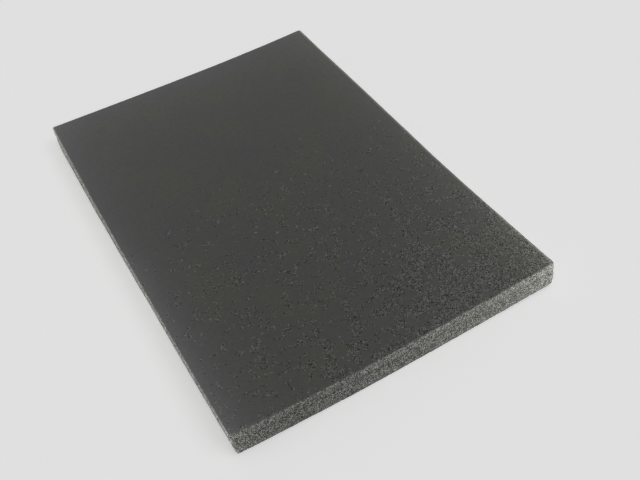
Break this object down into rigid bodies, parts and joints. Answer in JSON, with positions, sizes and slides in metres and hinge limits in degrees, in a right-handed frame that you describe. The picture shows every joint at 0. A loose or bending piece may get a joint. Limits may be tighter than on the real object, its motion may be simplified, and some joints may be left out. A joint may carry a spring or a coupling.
{
  "type": "acoustic foam panel",
  "caption": "Flat rectangular panel of soft open-cell acoustic foam with square-cut sides, softly rounded arrises and a plain flat back.",
  "frame": {"origin": "centre of the flat back face, which is the face that is stuck down or lies on the bench", "axes": "+Z out of the sound face, through the thickness; +Y along the length; +X across the width"},
  "size_m": [0.21, 0.297, 0.02],
  "materials": {
    "foam": "matte"
  },
  "bodies": {
    "root": {"foam_panel": "foam"}
  },
  "joints": []
}
